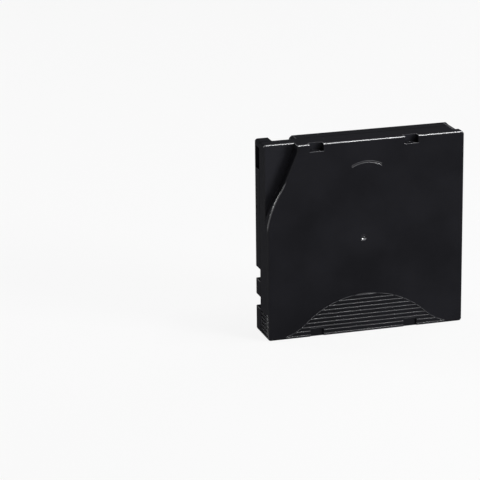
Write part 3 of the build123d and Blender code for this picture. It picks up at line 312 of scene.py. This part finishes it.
def edge_wear_and_highlight(tree, width, flat, place, seam):
    """How far an edge is glossed and painted paler: partly wear, partly painted highlight.

    An edge is found where the normal taken over a width turns away from the flat one. It is
    strongest where it faces the front side, upwards to the overhead softbox, or leans towards it
    near the top side, and along the leader's arc: where the lamps light it, so the paler colour
    there is painted highlight. The seam stays dull.
    """
    wide = add_node(tree, "ShaderNodeBevel", {"Radius": width}, samples=8).outputs[0]
    agree = combine(tree, "DOT_PRODUCT", wide, flat).outputs["Value"]
    sharp = remap(tree, agree, 0.995, 0.9, 0.0, 1.0)
    edge = calculate(tree, "MAXIMUM", sharp, rounded_rims(tree, flat))

    before = part_of(tree, flat, "Z")
    turned = calculate(tree, "SUBTRACT", part_of(tree, wide, "Z"), before)
    turned = calculate(tree, "ABSOLUTE", turned)
    fade_start, fade_end = TOP_SIDE + 2.5 * MM, TOP_SIDE + 3.5 * MM
    shallow = remap(tree, part_of(tree, place, "Y"), fade_start, fade_end, 1.0, 0.0)
    leaning = all_of(tree, remap(tree, turned, 0.1, 0.35, 0.0, 1.0), shallow)
    front = calculate(tree, "MAXIMUM", remap(tree, before, 0.35, 0.6, 0.06, 1.0), leaning)
    # Painted highlight along the leader's arc, near the top side
    path = all_of(tree, leader_arc_highlight(tree, place), shallow)
    front = calculate(tree, "MAXIMUM", front, path)

    patch = remap(tree, noise(tree, place, 3 * MM), 0.3, 0.6, 0.85, 1.0)
    return all_of(tree, edge, front, patch, calculate(tree, "SUBTRACT", 1.0, seam))


def recessed_floor(tree, place, flat):
    """Near 1 on floors sunk below the top side, which face -Y, and 0 on the top side and walls:
    these floors are painted paler as light.
    """
    sunk_start, sunk_end = TOP_SIDE + 2.6 * MM, TOP_SIDE + 3.2 * MM
    sunk = remap(tree, part_of(tree, place, "Y"), sunk_start, sunk_end, 0.0, 1.0)
    facing = remap(tree, part_of(tree, flat, "Y"), -0.8, -0.95, 0.0, 1.0)
    return all_of(tree, sunk, facing)


def gate_painted_highlight(tree, place, flat):
    """Near 1 where the gate's dish faces the front side, up to the overhead softbox, and 0
    elsewhere:
    a painted highlight on the dish's lit crescent.
    """
    inside = remap(tree, round_axis(tree, place, REEL_AXIS), 1.55 * MM, 1.7 * MM, 1.0, 0.0)
    facing = remap(tree, part_of(tree, flat, "Z"), 0.1, 0.35, 0.0, 1.0)
    return all_of(tree, inside, facing)


def seam_line(tree, place, reach):
    """Near 1 at the plane where the shells meet, and 0 beyond a reach from it."""
    away = calculate(tree, "SUBTRACT", part_of(tree, place, "Y"), SHELL_SEAM)
    away = calculate(tree, "ABSOLUTE", away)
    return remap(tree, away, reach / 2, reach, 1.0, 0.0)


# Materials
def moulded_colour(tree, colour, place, flat, cloud, wear_and_highlight, seam, polish_and_painted_light):
    """The base colour: cloudy; paler on edges (wear and painted highlight), round the gate (painted
    sheen) and on sunk floors (painted light); darker in corners (painted shade) and at the seam.
    """
    shade = blend_colours(tree, cloud, lighter(colour, 0.82), lighter(colour, 1.16))
    # Painted sheen: paler round the gate, fading out by 15 mm from the reel's axis
    painted_gate_sheen = remap(tree, round_axis(tree, place, REEL_AXIS), 3 * MM, 15 * MM, 0.35, 0.0)
    # Painted light: sunk floors are painted paler, standing in for light falling into them
    painted_sheen_and_light = calculate(tree, "MAXIMUM", painted_gate_sheen, recessed_floor(tree, place, flat))
    shade = blend_colours(tree, all_of(tree, painted_sheen_and_light, polish_and_painted_light), shade, lighter(colour, SUNK_FLOOR_PAINTED_LIGHT))
    # Painted highlight: edges are painted paler, partly as wear, partly where the lamps catch them
    shade = blend_colours(tree, all_of(tree, wear_and_highlight, polish_and_painted_light), shade, lighter(colour, EDGE_WEAR_AND_HIGHLIGHT))
    # Painted shade: darker in corners and hollows, by ambient occlusion over 3 mm
    around = add_node(tree, "ShaderNodeAmbientOcclusion", {"Distance": 3 * MM}, samples=8)
    open_sky = remap(tree, around.outputs["AO"], 0.3, 0.65, 0.0, 1.0)
    shade = blend_colours(tree, open_sky, lighter(colour, CORNER_PAINTED_SHADE), shade)
    return blend_colours(tree, all_of(tree, seam, polish_and_painted_light), shade, lighter(colour, SEAM_SHADE))


def moulded_plastic(name, colour, roughness, specular, grain, depth, lip, polish_and_painted_light):
    """An injection-moulded piece: grained by the mould, softened and glossed along its edges, and
    there painted paler as wear and painted highlight.

    Grain and depth are the width and height of one grain. Lip is the radius by which edges are
    softened. The last argument is how far the edge wear and painted highlights, the painted light
    on sunk floors, the painted sheen round the gate and the seam show, from 0 to 1.
    """
    material, tree, shader, place = new_material(name, colour, roughness, specular)
    cloud = remap(tree, noise(tree, place, 28 * MM, 3.0), 0.3, 0.7, 0.0, 1.0)
    fine = noise(tree, place, grain, 3.0, 0.6)
    soft = add_node(tree, "ShaderNodeBevel", {"Radius": lip}, samples=8).outputs[0]
    flat = add_node(tree, "ShaderNodeNewGeometry").outputs["Normal"]
    seam = seam_line(tree, place, 0.5 * MM)
    # The edge mask: partly wear, partly painted highlight; it also glosses the edges through the
    # coat
    wear_and_highlight = edge_wear_and_highlight(tree, 2.5 * lip, flat, place, seam)
    # Painted highlight on the gate's lit crescent, added to the edge mask
    wear_and_highlight = calculate(tree, "MAXIMUM", wear_and_highlight, gate_painted_highlight(tree, place, flat))
    shade = moulded_colour(tree, colour, place, flat, cloud, wear_and_highlight, seam, polish_and_painted_light)
    link(tree, shade, shader, "Base Color")

    patchy = remap(tree, cloud, 0.0, 1.0, roughness - 0.04, roughness + 0.05)
    dull = calculate(tree, "ADD", patchy, remap(tree, fine, 0.3, 0.7, -0.03, 0.03))
    link(tree, dull, shader, "Roughness")
    shader.inputs["Coat Roughness"].default_value = 0.2
    shader.inputs["Coat IOR"].default_value = 2.1
    link(tree, all_of(tree, wear_and_highlight, polish_and_painted_light), shader, "Coat Weight")

    sockets = {"Height": fine, "Distance": depth, "Strength": 0.5, "Normal": soft}
    link(tree, add_node(tree, "ShaderNodeBump", sockets).outputs[0], shader, "Normal")
    link(tree, soft, shader, "Coat Normal")
    return material


def turned_metal(name, colour, roughness, centre, line):
    """Sheet or bar metal with fine circular tool marks about an axis along Y."""
    material, tree, shader, place = new_material(name, colour, roughness, metallic=1.0)
    marks = ring_noise(tree, round_axis(tree, place, centre), line, 3.0)
    stain = remap(tree, noise(tree, place, 6 * MM, 3.0), 0.35, 0.7, 0.0, 1.0)
    link(tree, blend_colours(tree, stain, colour, lighter(colour, 0.8)), shader, "Base Color")
    dull = remap(tree, marks, 0.3, 0.7, roughness - 0.06, roughness + 0.08)
    link(tree, dull, shader, "Roughness")
    link_bump(tree, marks, 0.01 * MM, 0.4, shader)
    return material


def plain_metal(name, colour, roughness, grain):
    """Drawn or plated steel with a slightly uneven sheen."""
    material, tree, shader, place = new_material(name, colour, roughness, metallic=1.0)
    spot = noise(tree, place, grain, 3.0)
    link(tree, remap(tree, spot, 0.3, 0.7, roughness - 0.07, roughness + 0.1), shader, "Roughness")
    share = remap(tree, spot, 0.4, 0.75, 0.0, 1.0)
    link(tree, blend_colours(tree, share, colour, lighter(colour, 0.75)), shader, "Base Color")
    link_bump(tree, spot, 0.01 * MM, 0.3, shader)
    return material


def finish(nodes, material):
    """Gives a material to CAD nodes, in the slots that they have."""
    for name in nodes:
        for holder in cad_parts[name].material_slots:
            holder.material = material


# Computed surfaces
def tube(name, points, material, body):
    """A closed tube from a grid of points: rows along it, columns round it, and capped ends."""
    rows, columns, _ = points.shape
    index = np.arange(rows * columns).reshape(rows, columns)
    after = np.roll(index, -1, axis=1)
    quads = np.stack([index[:-1], after[:-1], after[1:], index[1:]], axis=-1).reshape(-1, 4)
    faces = [*quads.tolist(), index[0, ::-1].tolist(), index[-1].tolist()]
    mesh = bpy.data.meshes.new(name)
    mesh.from_pydata(points.reshape(-1, 3).tolist(), [], faces)
    mesh.polygons.foreach_set("use_smooth", np.ones(len(faces), bool))
    mesh.materials.append(material)
    mesh.update()
    piece = bpy.data.objects.new(name, mesh)
    bpy.context.scene.collection.objects.link(piece)
    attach(piece, body)
    return piece


def coil_points(radius, wire, length, turns, sides):
    """A round wire on a helix along +Z from 0 to length.

    The angle runs evenly through the turns. The height rises slowly over the first and last
    turn, which lie nearly flat, and evenly between them. Each ring of the wire is a circle in
    the plane of the outward direction and the direction square to both it and the path.
    """
    steps = int(turns * TURN_STEPS) + 1
    share = np.linspace(0, 1, steps)
    turn = 2 * np.pi * turns * share
    from_end = np.clip(np.minimum(share, 1 - share) * turns, 0, 1)
    rate = END_RATE + (1 - END_RATE) * from_end
    height = np.concatenate([[0], np.cumsum((rate[1:] + rate[:-1]) / 2)])
    height *= length / height[-1]
    out = np.stack([np.cos(turn), np.sin(turn), np.zeros(steps)], axis=1)
    centre = radius * out
    centre[:, 2] = height
    path = np.gradient(centre, axis=0)
    path /= np.linalg.norm(path, axis=1, keepdims=True)
    side = np.cross(path, out)
    around = np.linspace(0, 2 * np.pi, sides, endpoint=False)[None, :, None]
    ring = np.cos(around) * out[:, None, :] + np.sin(around) * side[:, None, :]
    return centre[:, None, :] + wire * ring


def placed(points, origin, across, along):
    """Turns points so that their X and Z point across and along, and moves them to an origin."""
    across, along = np.array(across, float), np.array(along, float)
    basis = np.stack([across, np.cross(along, across), along])
    return points @ basis + np.array(origin, float)


# Pieces
class CARTRIDGE_OT_case(Operator):
    """Finish the two shells, the door and the tab as moulded plastic"""
    bl_idname = "cartridge.case"
    bl_label = "Case, door and tab"

    def execute(self, context):
        case = context.scene.cartridge_case
        # Eroded mould steel leaves a fine matte grain on black polycarbonate
        shells = moulded_plastic(
            "black_polycarbonate_eroded", tuple(case.shell_colour), roughness=0.72, specular=0.01,
            grain=case.grain, depth=0.02 * MM, lip=case.lip, polish_and_painted_light=1.0)
        door = moulded_plastic(
            "black_acetal_smooth", tuple(case.door_colour), roughness=0.6, specular=0.05,
            grain=case.grain, depth=0.008 * MM, lip=case.lip, polish_and_painted_light=0.8)
        tab = moulded_plastic(
            "grey_acetal_smooth", tuple(case.tab_colour), roughness=0.4, specular=0.4,
            grain=case.grain, depth=0.008 * MM, lip=case.lip, polish_and_painted_light=0.0)
        finish(["top_shell", "bottom_shell"], shells)
        finish(["door"], door)
        finish(["write_protect_tab"], tab)
        return {"FINISHED"}


class CARTRIDGE_OT_reel(Operator):
    """Finish the reel, the brake and the release pad"""
    bl_idname = "cartridge.reel"
    bl_label = "Reel and brake"

    def execute(self, context):
        reel = context.scene.cartridge_reel
        lip = context.scene.cartridge_case.lip
        # Natural polycarbonate, polished mould: milky white with a clear gloss
        flanges = moulded_plastic(
            "natural_polycarbonate", tuple(reel.reel_colour), roughness=0.3, specular=0.5,
            grain=0.6 * MM, depth=0.004 * MM, lip=lip, polish_and_painted_light=0.0)
        # Acetal: waxy, slightly warm white
        brake = moulded_plastic(
            "natural_acetal", tuple(reel.brake_colour), roughness=0.36, specular=0.45,
            grain=0.5 * MM, depth=0.004 * MM, lip=lip, polish_and_painted_light=0.0)
        pad = moulded_plastic(
            "grey_glass_filled_nylon", tuple(reel.pad_colour), roughness=0.5, specular=0.4,
            grain=0.3 * MM, depth=0.015 * MM, lip=lip, polish_and_painted_light=0.0)
        finish(["reel_hub", "upper_flange"], flanges)
        finish(["brake_button"], brake)
        finish(["brake_release_pad", "leader_pin_clamp"], pad)
        # Pressed and tumbled steel sheet with faint circular marks
        plate = turned_metal("pressed_steel", linear("B9BABC"), 0.32, REEL_AXIS, 0.25 * MM)
        finish(["clutch_plate"], plate)
        return {"FINISHED"}


class CARTRIDGE_OT_springs(Operator):
    """Wind the brake spring and the door spring as round wire"""
    bl_idname = "cartridge.springs"
    bl_label = "Springs"

    def execute(self, context):
        springs = context.scene.cartridge_springs
        # Drawn music wire: bright steel with a fine drawn sheen
        wire_steel = plain_metal("drawn_spring_wire", tuple(springs.wire_colour), 0.28, 0.5 * MM)
        self.wind_brake_spring(springs, wire_steel)
        self.wind_door_spring(springs, wire_steel)
        finish(["pin_spring_lower", "pin_spring_upper"], wire_steel)
        return {"FINISHED"}

    def wind_brake_spring(self, springs, wire_steel):
        """A coil along Y, which shortens towards the top side as the brake rises."""
        low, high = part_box("brake_spring")
        radius = (high.x - low.x) / 2 - BRAKE_WIRE
        length = high.y - low.y - 2 * BRAKE_WIRE
        points = coil_points(radius, BRAKE_WIRE, length, springs.brake_turns, springs.sides)
        centre = middle_of("brake_spring")
        foot = (centre.x, high.y - BRAKE_WIRE, centre.z)
        points = placed(points, foot, (1, 0, 0), (0, -1, 0))
        spring = tube("brake_coil", points, wire_steel, "case")
        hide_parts("brake_spring")
        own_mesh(spring)

    def wind_door_spring(self, springs, wire_steel):
        """A coil along Z, which shortens towards the rear side as the door opens."""
        low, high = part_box("door_spring")
        radius = (high.x - low.x) / 2 - DOOR_WIRE
        length = high.z - low.z - 2 * DOOR_WIRE
        points = coil_points(radius, DOOR_WIRE, length, springs.door_turns, springs.sides)
        centre = middle_of("door_spring")
        foot = (centre.x, centre.y, low.z + DOOR_WIRE)
        points = placed(points, foot, (1, 0, 0), (0, 0, 1))
        spring = tube("door_coil", points, wire_steel, "case")
        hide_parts("door_spring")
        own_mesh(spring)


class CARTRIDGE_OT_film(Operator):
    """Finish the wound film and its leader"""
    bl_idname = "cartridge.film"
    bl_label = "Film"

    def execute(self, context):
        reel = context.scene.cartridge_reel
        colour = tuple(reel.film_colour)
        # Wound polyester film: the pack's ends show fine rings, its rim is glossy
        material, tree, shader, place = new_material("wound_polyester_film", colour, 0.3)
        rings = ring_noise(tree, round_axis(tree, place, middle_of("tape_pack")), 0.4 * MM, 4.0)
        share = remap(tree, rings, 0.3, 0.7, 0.0, 1.0)
        shade = blend_colours(tree, share, lighter(colour, 0.8), lighter(colour, 1.3))
        link(tree, shade, shader, "Base Color")
        link(tree, remap(tree, rings, 0.3, 0.7, 0.22, 0.38), shader, "Roughness")
        link_bump(tree, rings, 0.02 * MM, 0.4, shader)
        finish(["tape_pack", "tape_leader"], material)
        return {"FINISHED"}


class CARTRIDGE_OT_fittings(Operator):
    """Finish the leader pin, the screws and the memory board"""
    bl_idname = "cartridge.fittings"
    bl_label = "Pin, screws and memory board"

    def execute(self, context):
        # Turned stainless pin, zinc-plated screws
        axis = middle_of("leader_pin")
        pin = turned_metal("turned_pin_steel", linear("C8C8CA"), 0.22, axis, 0.2 * MM)
        finish(["leader_pin"], pin)
        screws = plain_metal("zinc_plated_steel", linear("9C9EA2"), 0.36, 0.6 * MM)
        finish(["case_screws"], screws)
        # Glass-epoxy laminate under green lacquer
        board, tree, shader, place = new_material("green_lacquered_laminate", linear("1E5A3A"), 0.3)
        weave = noise(tree, place, 0.5 * MM)
        share = remap(tree, weave, 0.35, 0.65, 0.0, 1.0)
        shade = blend_colours(tree, share, linear("1A5234"), linear("226242"))
        link(tree, shade, shader, "Base Color")
        link(tree, remap(tree, weave, 0.3, 0.7, 0.24, 0.34), shader, "Roughness")
        finish(["memory_board"], board)
        # A black epoxy blob over the chip
        resin, tree, shader, place = new_material("black_epoxy", linear("141416"), 0.2)
        dimple = noise(tree, place, 1 * MM)
        link(tree, remap(tree, dimple, 0.3, 0.7, 0.16, 0.26), shader, "Roughness")
        finish(["memory_chip"], resin)
        return {"FINISHED"}


def area_light(name, place, width, height, power):
    """A soft rectangular lamp at a place, turned to the object."""
    lamp = bpy.data.lights.new(name, "AREA")
    lamp.shape = "RECTANGLE"
    lamp.size = width
    lamp.size_y = height
    lamp.energy = power
    holder = bpy.data.objects.new(name, lamp)
    holder.location = place
    aim = Vector(LAMP_AIM) - Vector(place)
    holder.rotation_euler = aim.to_track_quat("-Z", "Y").to_euler()
    bpy.context.scene.collection.objects.link(holder)


def seen_directly(tree):
    """1 for camera, glossy and transmission rays, and 0 for diffuse ones."""
    rays = add_node(tree, "ShaderNodeLightPath").outputs
    first = calculate(tree, "MAXIMUM", rays["Is Camera Ray"], rays["Is Glossy Ray"])
    return calculate(tree, "MAXIMUM", first, rays["Is Transmission Ray"])


class CARTRIDGE_OT_stage(Operator):
    """Set the floor, the backdrop, the lights and the camera"""
    bl_idname = "cartridge.stage"
    bl_label = "Stage and camera"

    def execute(self, context):
        stage = context.scene.cartridge_stage
        scene = context.scene
        self.make_floor(stage)
        self.make_world(scene)
        area_light("softbox", (0.33, -0.2, 1.0), 0.45, 0.12, stage.softbox_power)
        area_light("key", (0.9, -0.9, 0.38), 0.45, 0.5, stage.key_power)
        area_light("back_light", (1.1, 0.7, 0.35), 0.6, 0.4, stage.back_power)
        area_light("left_light", (-1.0, 0.9, 0.3), 0.5, 0.5, stage.left_power)
        self.make_camera(scene, stage)
        scene.view_settings.view_transform = "Standard"
        return {"FINISHED"}

    def make_floor(self, stage):
        """A floor that curves up into a backdrop: a line, a quarter circle and a line, along X."""
        bend, reach, rise, half = 0.6, 1.4, 1.6, 4.0
        turn = np.linspace(0, np.pi / 2, 24)
        y = np.concatenate([[-half], reach + bend * np.sin(turn), [reach + bend]])
        z = np.concatenate([[0.0], bend * (1 - np.cos(turn)), [bend + rise]])
        points = np.zeros((len(y), 2, 3))
        points[..., 0] = (half, -half)
        points[..., 1] = y[:, None]
        points[..., 2] = z[:, None]
        index = np.arange(len(y) * 2).reshape(-1, 2)
        faces = np.stack([index[:-1, 0], index[1:, 0], index[1:, 1], index[:-1, 1]], axis=1)
        mesh = bpy.data.meshes.new("floor")
        mesh.from_pydata(points.reshape(-1, 3).tolist(), [], faces.tolist())
        mesh.polygons.foreach_set("use_smooth", np.ones(len(faces), bool))
        floor = bpy.data.objects.new("floor", mesh)
        bpy.context.scene.collection.objects.link(floor)

        # Pale paper sweep: seen as near white, with the shadow kept at part strength
        material, tree, shader, _ = new_material("paper_sweep", tuple(stage.floor_colour), 0.9, 0.1)
        glow = add_node(tree, "ShaderNodeEmission", {"Color": (1, 1, 1, 1), "Strength": 1.0})
        share = all_of(tree, seen_directly(tree), FLOOR_WHITE_SHARE)
        shaders = {0: share, 1: shader.outputs[0], 2: glow.outputs[0]}
        both = add_node(tree, "ShaderNodeMixShader", shaders)
        tree.links.new(both.outputs[0], tree.nodes["Material Output"].inputs["Surface"])
        mesh.materials.append(material)

    def make_world(self, scene):
        """A dim even surround for light, and a white one where it is seen or mirrored."""
        world = bpy.data.worlds.new("surround")
        world.use_nodes = True
        tree = world.node_tree
        dim = tree.nodes["Background"]
        dim.inputs["Color"].default_value = (1, 1, 1, 1)
        dim.inputs["Strength"].default_value = SURROUND_LIGHT
        white = add_node(tree, "ShaderNodeBackground", {"Color": (1, 1, 1, 1), "Strength": 1.0})
        shaders = {0: seen_directly(tree), 1: dim.outputs[0], 2: white.outputs[0]}
        both = add_node(tree, "ShaderNodeMixShader", shaders)
        tree.links.new(both.outputs[0], tree.nodes["World Output"].inputs["Surface"])
        scene.world = world

    def make_camera(self, scene, stage):
        """The photograph's view: turned right by the yaw, down by the pitch, then rolled."""
        yaw, pitch, roll = (math.radians(turn) for turn in CAMERA_TURN)
        look = Vector((math.sin(yaw), math.cos(yaw), 0)) * math.cos(pitch)
        look.z = -math.sin(pitch)
        level = Vector((math.cos(yaw), -math.sin(yaw), 0))
        up = level.cross(look)
        right = math.cos(roll) * level + math.sin(roll) * up
        top = -math.sin(roll) * level + math.cos(roll) * up
        lens = bpy.data.cameras.new("camera")
        lens.lens = stage.lens
        lens.sensor_width = 36.0
        lens.clip_end = 20.0
        holder = bpy.data.objects.new("camera", lens)
        turned = Matrix((right, top, -look)).transposed().to_4x4()
        holder.matrix_world = Matrix.Translation(CAMERA_PLACE) @ turned
        scene.collection.objects.link(holder)
        scene.camera = holder


class CARTRIDGE_PT_panel(Panel):
    """The settings and the operators, in the sidebar"""
    bl_idname = "CARTRIDGE_PT_panel"
    bl_label = "Cleaning cartridge"
    bl_space_type = "VIEW_3D"
    bl_region_type = "UI"
    bl_category = "Cartridge"

    def draw(self, context):
        scene = context.scene
        for settings in SETTINGS:
            group = getattr(scene, settings)
            box = self.layout.box()
            for name in group.__annotations__:
                box.prop(group, name)
        for operator in OPERATORS:
            self.layout.operator(operator.bl_idname)


OPERATORS = (
    CARTRIDGE_OT_case,
    CARTRIDGE_OT_reel,
    CARTRIDGE_OT_springs,
    CARTRIDGE_OT_film,
    CARTRIDGE_OT_fittings,
    CARTRIDGE_OT_stage,
)
SETTINGS = {
    "cartridge_case": CaseSettings,
    "cartridge_reel": ReelSettings,
    "cartridge_springs": SpringSettings,
    "cartridge_stage": StageSettings,
}


def register():
    """Adds the classes, and the settings to the scene."""
    for group in (*SETTINGS.values(), *OPERATORS, CARTRIDGE_PT_panel):
        bpy.utils.register_class(group)
    for name, group in SETTINGS.items():
        setattr(bpy.types.Scene, name, PointerProperty(type=group))


def unregister():
    """Takes away what register added."""
    for name in SETTINGS:
        delattr(bpy.types.Scene, name)
    for group in (CARTRIDGE_PT_panel, *reversed(OPERATORS), *SETTINGS.values()):
        bpy.utils.unregister_class(group)


def main():
    """Builds every piece."""
    register()
    bpy.ops.cartridge.case()
    bpy.ops.cartridge.reel()
    bpy.ops.cartridge.springs()
    bpy.ops.cartridge.film()
    bpy.ops.cartridge.fittings()
    bpy.ops.cartridge.stage()


if __name__ == "__main__":
    main()
